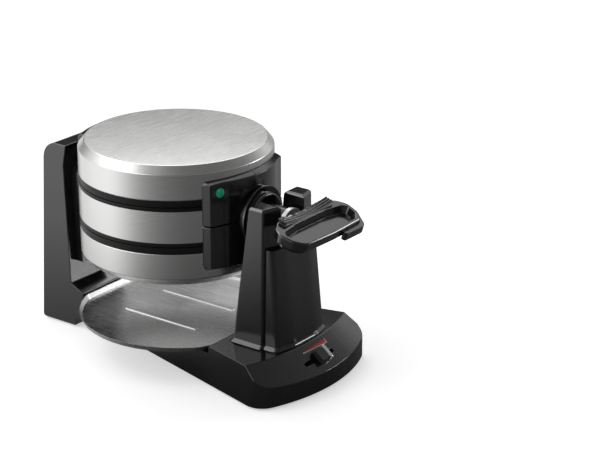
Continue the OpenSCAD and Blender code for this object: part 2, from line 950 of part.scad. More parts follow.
module handle_grip() {
  color(black) on_handle() difference() {
    union() {
      translate([0, 0, grip_low]) linear_extrude(height = grip_h - grip_edge)
        polygon(both_sides(grip_half(0)));
      between(rim_rise - grip_edge - skin, both_sides(grip_half(0)),
        rim_rise, both_sides(grip_half(grip_edge)));
      handle_knuckle();
      handle_lip();
    }
    between(rim_rise - scoop_d, both_sides(scoop_half(scoop_slope)),
      rim_rise + skin, both_sides(scoop_half(0)));
    fold_cuts();
  }
}

// The handle's middle hinge lug, joined to the grip's back
module handle_knuckle() {
  across(knuckle_half_w) {
    circle(r = knuckle_r);
    polygon([[-knuckle_r, 0], [knuckle_r, 0], [2 * knuckle_r, grip_low + skin], [back_u, grip_low + skin]]);
  }
}

// Room for the fold pin and for the yoke's cheeks
module fold_cuts() {
  rod_y(fold_pin_r + pin_bore_clear, handle_half_w);
  for (side = [-1, 1])
    translate([0, side * (knuckle_half_w + yoke_cheek_w), 0])
      rod_y(yoke_cheek_r + knuckle_clear, yoke_cheek_w);
}

module handle_under_shell() {
  color(black) on_handle() difference() {
    between(rim_rise - handle_d, both_sides(grip_half(under_inset + under_slope)),
      grip_low - skin, both_sides(grip_half(under_inset)));
    across(knuckle_half_w + move_gap) square([4 * knuckle_r + 2 * move_gap, 4 * knuckle_r], center = true);
    fold_cuts();
  }
}

// The proud tab on the right of the handle's front
module handle_thumb_tab() {
  outline = rounded(
    [[front_u - tab_back, tab_start], [front_u + tab_out, tab_start],
      [front_u + tab_out, handle_half_w * grip_shares[5][1]],
      [front_u - tab_back, handle_half_w + seat_gap]],
    [0, tab_corner_r, grip_corner_r, tab_corner_r], 4);
  color(black) on_handle() difference() {
    translate([0, 0, tab_low]) linear_extrude(height = tab_high - tab_low) polygon(outline);
    translate([0, 0, tab_low - over]) linear_extrude(height = tab_high)
      polygon(both_sides(grip_half(-seat_gap)));
  }
}

// Base

// Centre of the round between a flared side and the front arc
function corner_centre() =
  let (
    d = [cos(flare_angle), sin(flare_angle)],
    n = [sin(flare_angle), -cos(flare_angle)],
    q = [waist_end_x - arc_centre_x, waist_half_w] + n * front_corner_r,
    t = -(q * d) + sqrt((q * d) ^ 2 - (q * q - (front_arc_r - front_corner_r) ^ 2))
  ) [arc_centre_x, 0] + q + d * t;

// Half of the base's outline, drawn inside the real one by an inset
function base_half(inset) =
  let (
    centre = corner_centre(),
    bearing = atan2(centre[1], centre[0] - arc_centre_x)
  ) concat(
    [[stand_toe_x + seat_gap + inset, waist_half_w - inset], [waist_end_x, waist_half_w - inset]],
    arc_points(centre, front_corner_r - inset, 90 + flare_angle, bearing, arc_steps),
    arc_points([arc_centre_x, 0], front_arc_r - inset, bearing * (1 - 1 / front_steps), 0, front_steps));

// How far an inset draws the panel's cone in at the deck
function panel_trim(inset) = inset / sin(panel_slope) - inset / tan(panel_slope);

// Space outside a side plane that leans in towards the deck
module side_space(turn, half_w) {
  translate([waist_end_x, half_w, foot_gap]) rotate([0, 0, turn]) rotate([side_draft, 0, 0])
    translate([-2 * head_r, 0, -head_r]) cube([5 * head_r, 2 * head_r, 2 * head_r]);
}

// The base as a solid: plan, deck, sunk middle, the cone of the sloped panel and the leaning sides
module base_solid(inset, low_z) {
  top = deck_h - inset;
  top_r = deck_arc_r - panel_trim(inset);
  difference() {
    intersection() {
      translate([0, 0, low_z]) linear_extrude(height = top - low_z)
        polygon(both_sides(base_half(inset)));
      translate([panel_centre_x, 0, top - 2 * panel_drop])
        cylinder(r1 = top_r + 2 * panel_run, r2 = top_r, h = 2 * panel_drop, $fn = 180);
    }
    translate([-3 * head_r, -head_r, top - deck_sink])
      cube([3 * head_r + deck_step + inset, 2 * head_r, 2 * deck_sink]);
    for (side = [0, 1]) mirror([0, side, 0]) intersection() {
      side_space(0, waist_half_w - inset);
      side_space(flare_angle, waist_half_w - inset);
    }
  }
}

// Stands a piece on the sloped panel at a height and a side place, with Z along its normal
module on_panel(z, y) {
  r = deck_arc_r + (deck_h - z) * panel_run / panel_drop;
  translate([panel_centre_x + sqrt(r ^ 2 - y ^ 2), y, z]) rotate([0, panel_slope, 0]) children();
}

// Where the base's screws and their pillars stand
module at_pillars() {
  for (s = pillar_shares, side = [-1, 1])
    translate([s[0] * front_reach, side * s[1] * front_half_w, 0]) children();
}

// Where the control board's bosses stand
module at_bosses() {
  for (i = [-1, 1], j = [-1, 1])
    translate([board_x + i * (board_d / 2 - boss_inset), j * (board_w / 2 - boss_inset), 0]) children();
}

// Turns an outline drawn down the slope and off the panel into a solid across it
module across_slope(width) {
  across(width / 2) children();
}

module slot_shape(width, length, height) {
  for (side = [-1, 1]) translate([0, side * (length - width) / 2, 0]) cylinder(r = width / 2, h = height);
  translate([-width / 2, -(length - width) / 2, 0]) cube([width, length - width, height]);
}

module base_shell() {
  color(black) on_table() difference() {
    union() {
      difference() {
        base_solid(0, foot_gap);
        base_solid(wall, foot_gap - over);
      }
      intersection() {
        base_solid(wall / 2, foot_gap + bottom_t + seat_gap);
        at_pillars() cylinder(r = pillar_r, h = deck_h);
      }
      translate([0, 0, board_top + seat_gap]) at_bosses()
        cylinder(r = boss_r, h = deck_h - wall / 2 - board_top - seat_gap);
    }
    on_panel(slot_z, slot_y) translate([0, 0, -2 * wall]) slot_shape(slot_w, slot_len, 4 * wall);
    translate([stand_toe_x - over, -head_r, 0]) cube([base_arch + over, 2 * head_r, arch_h]);
    at_pillars() cylinder(r = screw_r + seat_gap, h = foot_gap + screw_sink + screw_len + over);
  }
}

module base_bottom_plate() {
  color(black) on_table() difference() {
    translate([0, 0, foot_gap]) linear_extrude(height = bottom_t)
      polygon(both_sides(base_half(wall + plate_gap)));
    translate([stand_toe_x - over, -head_r, 0])
      cube([base_arch + wall + plate_gap + over, 2 * head_r, arch_h]);
    for (side = [-1, 1]) translate([foot_front_x, side * foot_front_y, 0])
      cylinder(r = foot_r + seat_gap, h = foot_h + seat_gap);
    at_pillars() cylinder(r = screw_r + seat_gap, h = 2 * deck_h);
    at_pillars() cylinder(r = screw_head_r + seat_gap, h = foot_gap + screw_sink + screw_head_t);
  }
}

module feet() {
  color(dark) on_table() for (side = [-1, 1]) {
    translate([foot_front_x, side * foot_front_y, 0]) cylinder(r = foot_r, h = foot_h);
    translate([foot_rear_x, side * foot_rear_y, 0]) cylinder(r = foot_r, h = foot_h);
  }
}

module base_screws() {
  color(steel) on_table() translate([0, 0, foot_gap + screw_sink]) at_pillars() {
    cylinder(r = screw_head_r, h = screw_head_t - seat_gap);
    cylinder(r = screw_r, h = screw_len);
  }
}

// Rear stand

// The stand's side outline, drawn inside the real one by an inset
function stand_outline(inset) = rounded([
  [stand_back + inset, foot_gap], [stand_front + stand_foot - inset, foot_gap],
  [stand_front + stand_foot - inset, arch_h + inset], [stand_front + stand_toe - inset, arch_h + inset],
  [stand_front + stand_toe - inset, deck_h - inset], [stand_front - inset, deck_h + stand_toe_h - inset],
  [stand_front - stand_front_lean - inset, stand_top - stand_lip_h],
  [stand_front - stand_front_lean + stand_lip - inset, stand_top - inset],
  [stand_back + stand_back_lean + inset, stand_top - inset]],
  [stand_foot_r, 0, 0, 0, 0, 0, stand_foot_r, 0, stand_shoulder_r], arc_steps);

// The stand's back edge at a height
function stand_back_at(z) = stand_back + stand_back_lean * (z - foot_gap) / (stand_top - foot_gap);

// The strip of the stand's back that its cover closes
module back_strip(depth, gap, proud) {
  low = back_cover_low + gap;
  high = back_cover_high - gap;
  polygon([[stand_back_at(low) - proud, low], [stand_back_at(low) + depth, low],
    [stand_back_at(high) + depth, high], [stand_back_at(high) - proud, high]]);
}

module rear_stand() {
  color(black) on_table() difference() {
    across(stand_half_w) polygon(stand_outline(0));
    across(stand_half_w - wall) difference() {
      polygon(stand_outline(wall));
      translate([stand_back - over, 0]) square([stand_depth + 2 * stand_toe, foot_gap + wall]);
    }
    across(stand_half_w - wall) back_strip(back_cover_t + wall, 0, over);
    translate([0, 0, axis_h]) rod_x(rear_shaft_r + bush_wall + seat_gap, stand_back + stand_depth / 2, 0);
    for (side = [-1, 1]) translate([foot_rear_x, side * foot_rear_y, 0])
      cylinder(r = foot_r + seat_gap, h = foot_h + seat_gap);
  }
}

module rear_stand_cover() {
  color(black) on_table() difference() {
    across(stand_half_w - wall - back_cover_gap) back_strip(back_cover_t, back_cover_gap, 0);
    translate([0, 0, gland_z]) rod_x(gland_r + seat_gap, 2 * stand_back, 0);
    translate([stand_back_at(gland_z), 0, gland_z]) rod_x(gland_flange_r + seat_gap, -gland_len, 0);
    at_back_screws() rod_x(screw_head_r + seat_gap, -back_cover_t, screw_sink + screw_head_t);
  }
}

// Where the back cover's screws sit, from the stand's back inwards
module at_back_screws() {
  for (z = back_screw_z, side = [-1, 1])
    translate([stand_back_at(z), side * back_screw_y, z]) children();
}

module rear_cover_screws() {
  color(steel) on_table() at_back_screws() rod_x(screw_head_r, screw_sink, screw_sink + screw_head_t);
}

// The grommet that the mains lead comes out of
module cord_gland() {
  color(dark) on_table() translate([stand_back_at(gland_z), 0, gland_z]) difference() {
    union() {
      rod_x(gland_flange_r, -gland_flange_t, -seat_gap - skin);
      rod_x(gland_r, -gland_flange_t, gland_len - gland_flange_t);
    }
    rod_x(gland_bore_r, -gland_len, 2 * gland_len);
  }
}

module rear_bearing_block() {
  color(black) on_table() difference() {
    along(stand_front - stand_front_lean - over, block_face) {
      translate([-block_half_w, axis_h - block_low]) square([2 * block_half_w, block_low]);
      translate([0, axis_h]) circle(r = block_half_w);
    }
    across(stand_half_w) polygon(stand_outline(-seat_gap));
    translate([0, 0, axis_h]) rod_x(rear_shaft_r + bush_wall + seat_gap, 2 * stand_back, 0);
  }
}

module rear_bush() {
  color([0.8, 0.8, 0.75]) on_table() translate([0, 0, axis_h]) difference() {
    rod_x(rear_shaft_r + bush_wall, block_face - rear_bush_len, block_face);
    rod_x(rear_shaft_r + shaft_clear, 2 * stand_back, 0);
  }
}

// Front post

// Half of the post's plan at a height, grown by an amount
function post_half(z, grow) =
  let (
    share = (z - deck_h) / (fork_top - deck_h),
    back_x = mix(post_back_deck, post_back_top, share) - grow,
    half = mix(post_half_w, fork_half_w, share) + grow
  ) rounded(
    [[back_x, 0], [back_x, half], [post_front, half],
      [post_front + prong_nose + grow, notch_half_w], [post_front + prong_nose + grow, 0]],
    [0, post_corner_r, post_corner_r, 0, 0], 4);

// A part of the post's tapered body, grown by one amount below and another above
module post_body(low_z, low_grow, high_z, high_grow) {
  between(low_z, both_sides(post_half(low_z, low_grow)), high_z, both_sides(post_half(high_z, high_grow)));
}

module front_post() {
  color(black) on_table() difference() {
    union() {
      post_body(deck_h, 0, fork_top, 0);
      post_body(deck_h, skirt_out, deck_h + skirt_h, 0);
    }
    post_body(deck_h - over, -wall, post_room_top, -wall);
    along(0, 2 * head_r) {
      translate([0, axis_h]) circle(r = notch_half_w);
      translate([-notch_half_w, axis_h]) square([2 * notch_half_w, 2 * fork_rise]);
    }
  }
}

// Half of the front cover's plan at a height, grown by an amount
function cover_half(z, grow) =
  let (
    share = (z - deck_h) / (cover_top_z - deck_h),
    fork_share = (z - deck_h) / (fork_top - deck_h),
    back_x = post_front - cover_lap,
    reach = prong_nose + cover_lap + mix(cover_bulge, cover_top_bulge, share) + grow,
    half = mix(post_half_w, fork_half_w, fork_share) - cover_side_gap + grow
  ) rounded([for (s = cover_shares) [back_x + s[0] * reach, s[1] * half]],
    [0, cover_corner_r, cover_front_r, 0], 4);

// A part of the front cover's bulging body
module cover_body(low_z, low_grow, high_z, high_grow) {
  between(low_z, both_sides(cover_half(low_z, low_grow)), high_z, both_sides(cover_half(high_z, high_grow)));
}

module front_post_cover() {
  color(black) on_table() difference() {
    union() {
      cover_body(deck_h, 0, cover_top_z, 0);
      cover_body(deck_h, skirt_out, deck_h + skirt_h, 0);
    }
    cover_body(deck_h - over, -wall, cover_top_z - wall, -wall);
    post_body(deck_h - over, seat_gap, fork_top, seat_gap);
    post_body(deck_h - skin, skirt_out + seat_gap, deck_h + skirt_h, seat_gap);
  }
}

// The half bearing in the notch that the shaft lies in
module front_cradle() {
  color(dark) on_table() translate([0, 0, axis_h]) difference() {
    rod_x(notch_half_w - bush_gap, post_back_top + cradle_set, post_back_top + cradle_set + cradle_len);
    rod_x(front_shaft_r + shaft_clear, 0, 2 * head_r);
    translate([0, -head_r, 0]) cube([2 * head_r, 2 * head_r, head_r]);
  }
}

// Browning control

// The wedge above the slot, which widens towards the darkest setting
module browning_scale() {
  color(red) on_table() on_panel(slot_z + scale_up, scale_y)
    translate([0, 0, seat_gap]) linear_extrude(height = scale_t) polygon([
      [-scale_shift, -scale_len / 2], [0, scale_len / 2],
      [-scale_wide, scale_len / 2], [-scale_shift - scale_narrow, -scale_len / 2]]);
}

module control_board() {
  color([0.1, 0.35, 0.2]) on_table()
    translate([board_x - board_d / 2, -board_w / 2, board_top - board_t]) cube([board_d, board_w, board_t]);
}

// The slide control under the panel, open along its top for the slider's stem
module slide_control() {
  color(dark) on_table() on_panel(slot_z, slot_y) translate([0, 0, -wall - pot_drop]) difference() {
    translate([-pot_d / 2, -pot_w / 2, -pot_h]) cube([pot_d, pot_w, pot_h]);
    translate([0, 0, -pot_h + pot_floor]) slot_shape(slot_w + 2 * move_gap, slot_len + move_gap, pot_h);
  }
}

module browning_knob() {
  color(black) on_table() on_panel(slot_z, slot_y) {
    translate([0, 0, knob_lift]) across_slope(knob_w) polygon([
      [-knob_len / 2, 0], [knob_len / 2, 0], [(knob_len - knob_taper) / 2, knob_rise - knob_lift],
      [-(knob_len - knob_taper) / 2, knob_rise - knob_lift]]);
    translate([-stem_t / 2, -stem_w / 2, -wall - stem_down])
      cube([stem_t, stem_w, wall + stem_down + knob_lift + skin]);
  }
}

// The bright bar on the knob's right side
module browning_knob_trim() {
  color(steel) on_table() on_panel(slot_z, slot_y)
    translate([-knob_len / 2, knob_w / 2 + seat_gap, knob_lift])
      cube([knob_len, trim_t, knob_rise - knob_lift + trim_proud]);
}

// Drip tray

// Half of the tray's outline, about the middle of its round, drawn inside the real one by an inset
function tray_half(inset) =
  let (
    back = [tray_back_r - tray_back, sqrt((tray_r - tray_back_r) ^ 2 - (tray_back - tray_back_r) ^ 2)],
    front = [tray_front - tray_front_r, sqrt((tray_r - tray_front_r) ^ 2 - (tray_front - tray_front_r) ^ 2)],
    back_angle = atan2(back[1], back[0]),
    front_angle = atan2(front[1], front[0]),
    step = (back_angle - front_angle) / tray_steps
  ) concat(
    arc_points(back, tray_back_r - inset, 180, back_angle, tray_corner_steps),
    arc_points([0, 0], tray_r - inset, back_angle - step, front_angle + step, tray_steps - 2),
    arc_points(front, tray_front_r - inset, front_angle, 0, tray_corner_steps));

// The tray's bowl, drawn inside by an inset
module tray_body(low_z, high_z, inset) {
  between(low_z, both_sides(tray_half(tray_border + inset)), high_z, both_sides(tray_half(inset)));
}

module drip_tray() {
  color(steel) on_table() translate([0, 0, deck_h - deck_sink + seat_gap]) {
    translate([tray_x, 0, 0]) difference() {
      tray_body(0, tray_h, 0);
      tray_body(tray_t, tray_h + skin, tray_t);
    }
    for (side = [-1, 1]) translate([-rib_half_len, side * rib_y - rib_w / 2, tray_t - skin])
      cube([2 * rib_half_len, rib_w, rib_h + skin]);
  }
}

base_shell();
base_bottom_plate();
feet();
base_screws();
rear_stand();
rear_stand_cover();
rear_cover_screws();
rear_bearing_block();
rear_bush();
cord_gland();
front_post();
front_post_cover();
front_cradle();
browning_scale();
control_board();
slide_control();
browning_knob();
browning_knob_trim();
drip_tray();
core_band();
core_upper_bezel();
core_lower_bezel();
core_upper_plate();
core_lower_plate();
core_upper_element();
core_lower_element();
core_hinge_bracket();
rear_shaft();
front_hub();
front_shaft();
upper_hinge_pin();
lower_hinge_pin();
handle_yoke();
fold_pin();
upper_lid_cap();
upper_lid_bezel();
upper_lid_plate();
upper_lid_element();
upper_heat_shield();
upper_front_housing();
upper_ready_light();
upper_hinge_cover();
lower_lid_cap();
lower_lid_bezel();
lower_lid_plate();
lower_lid_element();
lower_heat_shield();
lower_front_housing();
lower_ready_light();
lower_hinge_cover();
handle_grip();
handle_under_shell();
handle_thumb_tab();
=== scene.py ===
import json
import math

import bmesh
import bpy
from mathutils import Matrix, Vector


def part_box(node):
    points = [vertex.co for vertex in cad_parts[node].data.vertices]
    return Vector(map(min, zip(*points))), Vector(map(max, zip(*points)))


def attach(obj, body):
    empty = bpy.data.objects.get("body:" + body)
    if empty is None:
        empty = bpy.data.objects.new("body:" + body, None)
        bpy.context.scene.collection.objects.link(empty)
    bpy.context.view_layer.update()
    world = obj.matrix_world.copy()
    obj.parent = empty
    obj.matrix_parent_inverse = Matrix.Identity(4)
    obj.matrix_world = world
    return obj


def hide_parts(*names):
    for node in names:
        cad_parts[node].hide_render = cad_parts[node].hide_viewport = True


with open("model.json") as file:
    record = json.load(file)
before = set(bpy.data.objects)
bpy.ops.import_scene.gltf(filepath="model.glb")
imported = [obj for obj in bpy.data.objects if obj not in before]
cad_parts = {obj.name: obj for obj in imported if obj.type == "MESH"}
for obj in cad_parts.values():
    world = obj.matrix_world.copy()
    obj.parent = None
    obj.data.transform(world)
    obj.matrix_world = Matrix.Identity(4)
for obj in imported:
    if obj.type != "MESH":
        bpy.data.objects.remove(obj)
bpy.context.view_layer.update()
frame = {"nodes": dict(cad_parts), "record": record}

# A double flip waffle maker: the CAD nodes with rounded edges and finishes, in a white studio

# The body and the material slot that each CAD node has in the record
BODY = {n: b for b, nodes in frame["record"]["behaviour"]["bodies"].items() for n in nodes}
SLOT = {p["node"]: p["material_slot"] for p in frame["record"]["subparts"]}
MM = 0.001

# The middle of the round head and the radius of its steel wall, in metres
band_low, band_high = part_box("core_band")
HEAD = (band_low + band_high) / 2
HEAD_R = (band_high.x - band_low.x) / 2


# Camera: 120 mm lens, from the left front and a little above

CAM_PLACE = (1.3276, -1.5924, 0.9240)
CAM_DOWN = 20.98    # degrees below level
CAM_TURN = 36.6     # degrees from straight across the machine, towards its front

cam_data = bpy.data.cameras.new("camera")
camera = bpy.data.objects.new("camera", cam_data)
bpy.context.scene.collection.objects.link(camera)
cam_data.lens = 120
cam_data.sensor_width = 36
cam_data.sensor_fit = "HORIZONTAL"
cam_data.clip_end = 50
camera.location = CAM_PLACE
camera.rotation_euler = (math.radians(90 - CAM_DOWN), 0, math.radians(CAM_TURN))
bpy.context.scene.camera = camera
bpy.context.scene.view_settings.view_transform = "Standard"


# Node trees

def add(tree, kind, **values):
    """A shader node, with the settings and the socket values that are given."""
    made = tree.nodes.new("ShaderNode" + kind)
    for name, value in values.items():
        if hasattr(made, name):
            setattr(made, name, value)
        else:
            made.inputs[name.replace("_", " ")].default_value = value
    return made


def math_node(tree, operation, first, second=None):
    """A Math node whose inputs are sockets or numbers."""
    made = add(tree, "Math", operation=operation)
    for socket, value in zip(made.inputs, (first, second)):
        if value is None:
            continue
        if isinstance(value, (int, float)):
            socket.default_value = value
        else:
            tree.links.new(value, socket)
    return made.outputs[0]


def map_range(tree, value, low, high, to_low=0.0, to_high=1.0, smooth=False):
    """A value moved from one range to another, straight or with soft ends."""
    made = add(tree, "MapRange", interpolation_type="SMOOTHSTEP" if smooth else "LINEAR",
               From_Min=low, From_Max=high, To_Min=to_low, To_Max=to_high)
    tree.links.new(value, made.inputs["Value"])
    return made.outputs[0]


def ramp(tree, value, stops):
    """A colour ramp in greys, from a list of place and level."""
    made = add(tree, "ValToRGB")
    band = made.color_ramp
    while len(band.elements) < len(stops):
        band.elements.new(0.5)
    for element, (place, level) in zip(band.elements, stops):
        element.position = place
        element.color = (level, level, level, 1)
    tree.links.new(value, made.inputs["Fac"])
    return made.outputs["Color"]


def mix_colour(tree, share, first, second):
    """Mixes two colours, each a socket or three numbers, by a share from a socket."""
    made = add(tree, "Mix", data_type="RGBA")
    tree.links.new(share, made.inputs[0])
    for socket, value in ((made.inputs[6], first), (made.inputs[7], second)):
        if hasattr(value, "links"):
            tree.links.new(value, socket)
        else:
            socket.default_value = (*value, 1)
    return made.outputs[2]


def mix_level(tree, share, first, second):
    """Mixes two single values by a share, all three of them sockets."""
    made = add(tree, "Mix", data_type="FLOAT")
    for socket, value in zip(made.inputs, (share, None, first, second)):
        if value is not None:
            tree.links.new(value, socket)
    return made.outputs[0]


def new_group(name, ins, outs):
    """A node group with named sockets, and its input and output nodes."""
    group = bpy.data.node_groups.new(name, "ShaderNodeTree")
    for label, kind, value in ins:
        socket = group.interface.new_socket(label, in_out="INPUT", socket_type="NodeSocket" + kind)
        if value is not None:
            socket.default_value = value
    for label, kind in outs:
        group.interface.new_socket(label, in_out="OUTPUT", socket_type="NodeSocket" + kind)
    return group, group.nodes.new("NodeGroupInput"), group.nodes.new("NodeGroupOutput")


def place_group(tree, group, vector, **values):
    """A shared group at a point or direction, with this material's own values."""
    made = tree.nodes.new("ShaderNodeGroup")
    made.node_tree = group
    tree.links.new(vector, made.inputs["Vector"])
    for name, value in values.items():
        made.inputs[name.replace("_", " ")].default_value = value
    return made


# Groups that several materials share

# The studio's light, as compass bearing in degrees and brightness: of the floor, of a low ring
# above the horizon, and of what is higher, which HIGH_GAIN multiplies
GLOW_LOW = [(-180, 0.8), (-160, 0.97), (-125, 1.08), (-110, 0.8), (-97, 0.45), (-80, 0.24),
            (-62, 0.15), (-40, 0.1), (0, 0.1), (45, 0.2), (70, 0.3), (105, 0.36), (122, 0.7),
            (135, 0.9), (180, 0.9)]
GLOW_RING = [(-180, 0.7), (-165, 0.85), (-140, 0.95), (-118, 0.75), (-97, 0.4), (-80, 0.22),
             (-53, 0.16), (0, 0.2), (50, 0.25), (72, 0.5), (88, 0.8), (98, 0.5), (110, 0.05),
             (150, 0.06), (165, 0.2), (180, 0.7)]
GLOW_HIGH = [(-180, 0.7), (-150, 0.6), (-120, 0.35), (-90, 0.16), (-53, 0.07), (0, 0.06),
             (50, 0.08), (80, 0.16), (105, 0.5), (130, 0.7), (180, 0.7)]
HIGH_GAIN = 2.0

# The share of the high light that is left at a height, from 0 at the horizon to 1 overhead, and
# the heights between which the horizon and the top of the low ring fade over
GLOW_UP = [(0, 0.12), (0.24, 0.16), (0.42, 0.75), (0.6, 1.0), (0.9, 1.0), (1, 0.8)]
HORIZON = (0.0, 0.04)
RING_TOP = (0.36, 0.58)


def make_studio_glow():
    """How bright the studio is in a direction.

    It is bright to the left, behind and overhead, and dark towards the front.
    """
    group, ins, outs = new_group("studio_glow", [("Vector", "Vector", None)], [("Level", "Float")])
    unit = add(group, "VectorMath", operation="NORMALIZE")
    group.links.new(ins.outputs["Vector"], unit.inputs[0])
    split = add(group, "SeparateXYZ")
    group.links.new(unit.outputs[0], split.inputs[0])
    height = split.outputs["Z"]
    bearing = math_node(group, "ARCTAN2", split.outputs["Y"], split.outputs["X"])
    turn = map_range(group, bearing, -math.pi, math.pi)

    def round_the_compass(stops):
        return ramp(group, turn, [(degrees / 360 + 0.5, level) for degrees, level in stops])

    strong = math_node(group, "MULTIPLY", round_the_compass(GLOW_HIGH), HIGH_GAIN)
    share = ramp(group, map_range(group, height, 0, 1), GLOW_UP)
    high = math_node(group, "MULTIPLY", strong, share)
    is_high = map_range(group, height, *RING_TOP, smooth=True)
    above = mix_level(group, is_high, round_the_compass(GLOW_RING), high)
    is_above = map_range(group, height, *HORIZON, smooth=True)
    level = mix_level(group, is_above, round_the_compass(GLOW_LOW), above)
    group.links.new(level, outs.inputs["Level"])
    return group


# Brush lines per metre, across the lines and along them
BRUSH_ACROSS = 2600.0
BRUSH_ALONG = 26.0
# A face counts as flat from this share of its normal upwards
FLAT_FACE = 0.9
# The part of a noise's range that most of it fills
NOISE_BAND = (0.3, 0.7)


def make_brush_lines():
    """Brushed metal: fine lines round the head's side, and straight across its flat top."""
    group, ins, outs = new_group(
        "brush_lines",
        [("Vector", "Vector", None), ("Across", "Float", BRUSH_ACROSS),
         ("Along", "Float", BRUSH_ALONG)],
        [("Mask", "Float"), ("Fine", "Float")],
    )
    split = add(group, "SeparateXYZ")
    group.links.new(ins.outputs["Vector"], split.inputs[0])
    bearing = math_node(group, "ARCTAN2", split.outputs["Y"], split.outputs["X"])
    round_way = math_node(group, "MULTIPLY", bearing, HEAD_R)
    face = add(group, "TexCoord")
    up = add(group, "SeparateXYZ")
    group.links.new(face.outputs["Normal"], up.inputs[0])
    upright = math_node(group, "ABSOLUTE", up.outputs["Z"])
    flat = math_node(group, "GREATER_THAN", upright, FLAT_FACE)

    def lines(along, across):
        """Noise drawn out along one way of the surface."""
        place = add(group, "CombineXYZ")
        for socket, way, rate in zip(place.inputs, (along, across), ("Along", "Across")):
            group.links.new(math_node(group, "MULTIPLY", way, ins.outputs[rate]), socket)
        noise = add(group, "TexNoise", noise_dimensions="2D", Scale=1.0, Detail=4.0, Roughness=0.7)
        group.links.new(place.outputs[0], noise.inputs["Vector"])
        return noise.outputs["Fac"]

    side = lines(round_way, split.outputs["Z"])
    top = lines(split.outputs["Y"], split.outputs["X"])
    fine = mix_level(group, flat, side, top)
    group.links.new(map_range(group, fine, *NOISE_BAND), outs.inputs["Mask"])
    group.links.new(fine, outs.inputs["Fine"])
    return group


def make_soft_marks():
    """Large, faint clouds, where hands and heat have left a surface less even."""
    group, ins, outs = new_group(
        "soft_marks", [("Vector", "Vector", None), ("Scale", "Float", 14.0)], [("Mask", "Float")])
    noise = add(group, "TexNoise", Detail=5.0, Roughness=0.6)
    group.links.new(ins.outputs["Vector"], noise.inputs["Vector"])
    group.links.new(ins.outputs["Scale"], noise.inputs["Scale"])
    mask = map_range(group, noise.outputs["Fac"], 0.35, 0.65, smooth=True)
    group.links.new(mask, outs.inputs["Mask"])
    return group


def make_fine_grain():
    """The fine grain of a moulded or cast surface."""
    group, ins, outs = new_group(
        "fine_grain", [("Vector", "Vector", None), ("Scale", "Float", 1400.0)],
        [("Height", "Float")])
    noise = add(group, "TexNoise", Detail=3.0)
    group.links.new(ins.outputs["Vector"], noise.inputs["Vector"])
    group.links.new(ins.outputs["Scale"], noise.inputs["Scale"])
    group.links.new(noise.outputs["Fac"], outs.inputs["Height"])
    return group


studio_glow = make_studio_glow()
brush_lines = make_brush_lines()
soft_marks = make_soft_marks()
fine_grain = make_fine_grain()


# Finishes

def new_finish(name, **values):
    """A material with its shader, its tree and the point being shaded."""
    material = bpy.data.materials.new(name)
    material.use_nodes = True
    tree = material.node_tree
    tree.nodes.clear()
    shader = add(tree, "BsdfPrincipled", **values)
    out = add(tree, "OutputMaterial")
    tree.links.new(shader.outputs[0], out.inputs["Surface"])
    where = add(tree, "TexCoord")
    return material, tree, shader, where.outputs["Object"]


def about(tree, point, centre):
    """The point, measured from a centre."""
    shift = add(tree, "Mapping", vector_type="POINT", Location=[-c for c in centre])
    tree.links.new(point, shift.inputs["Vector"])
    return shift.outputs[0]


def bump(tree, shader, height, strength, distance):
    """Fine relief from a height, by a strength and a depth in metres."""
    made = add(tree, "Bump", Strength=strength, Distance=distance)
    tree.links.new(height, made.inputs["Height"])
    tree.links.new(made.outputs[0], shader.inputs["Normal"])


def uneven_rough(tree, shader, rough, marks, extra):
    """Roughness with a little more of it where the soft marks are."""
    more = math_node(tree, "MULTIPLY", marks.outputs["Mask"], extra)
    tree.links.new(math_node(tree, "ADD", rough, more), shader.inputs["Roughness"])


# Depth of the fine relief in metres, in brushed steel, in other steel and in mouldings
BRUSH_DEPTH = 0.00006
STEEL_DEPTH = 0.00005
GRAIN_DEPTH = 0.00008


def brushed_steel(name, colour, low_rough, high_rough, anisotropy):
    """Steel brushed round the head, or straight and even where it has no anisotropy."""
    material, tree, shader, point = new_finish(name, Metallic=1.0, Anisotropic=anisotropy)
    local = about(tree, point, (HEAD.x, 0, HEAD.z))
    lines = place_group(tree, brush_lines, local)
    marks = place_group(tree, soft_marks, local, Scale=9.0)
    rough = map_range(tree, lines.outputs["Mask"], 0, 1, low_rough, high_rough)
    uneven_rough(tree, shader, rough, marks, 0.012)
    darker = [c * 0.94 for c in colour]
    tint = mix_colour(tree, lines.outputs["Mask"], darker, colour)
    tree.links.new(tint, shader.inputs["Base Color"])
    strength = 0.12 if anisotropy else 0.04
    bump(tree, shader, lines.outputs["Fine"], strength, BRUSH_DEPTH)
    if anisotropy:
        around = add(tree, "Tangent", direction_type="RADIAL", axis="Z")
        tree.links.new(around.outputs[0], shader.inputs["Tangent"])
    return material


def plain_steel(name, colour, rough, scale=900.0):
    """Turned or pressed steel with a fine, even grain."""
    material, tree, shader, point = new_finish(name, Metallic=1.0)
    grain = place_group(tree, fine_grain, point, Scale=scale)
    marks = place_group(tree, soft_marks, point, Scale=30.0)
    worn = map_range(tree, marks.outputs["Mask"], 0, 1, rough, rough + 0.1)
    tree.links.new(worn, shader.inputs["Roughness"])
    darker = [c * 0.88 for c in colour]
    tint = mix_colour(tree, grain.outputs["Height"], darker, colour)
    tree.links.new(tint, shader.inputs["Base Color"])
    bump(tree, shader, grain.outputs["Height"], 0.1, STEEL_DEPTH)
    return material


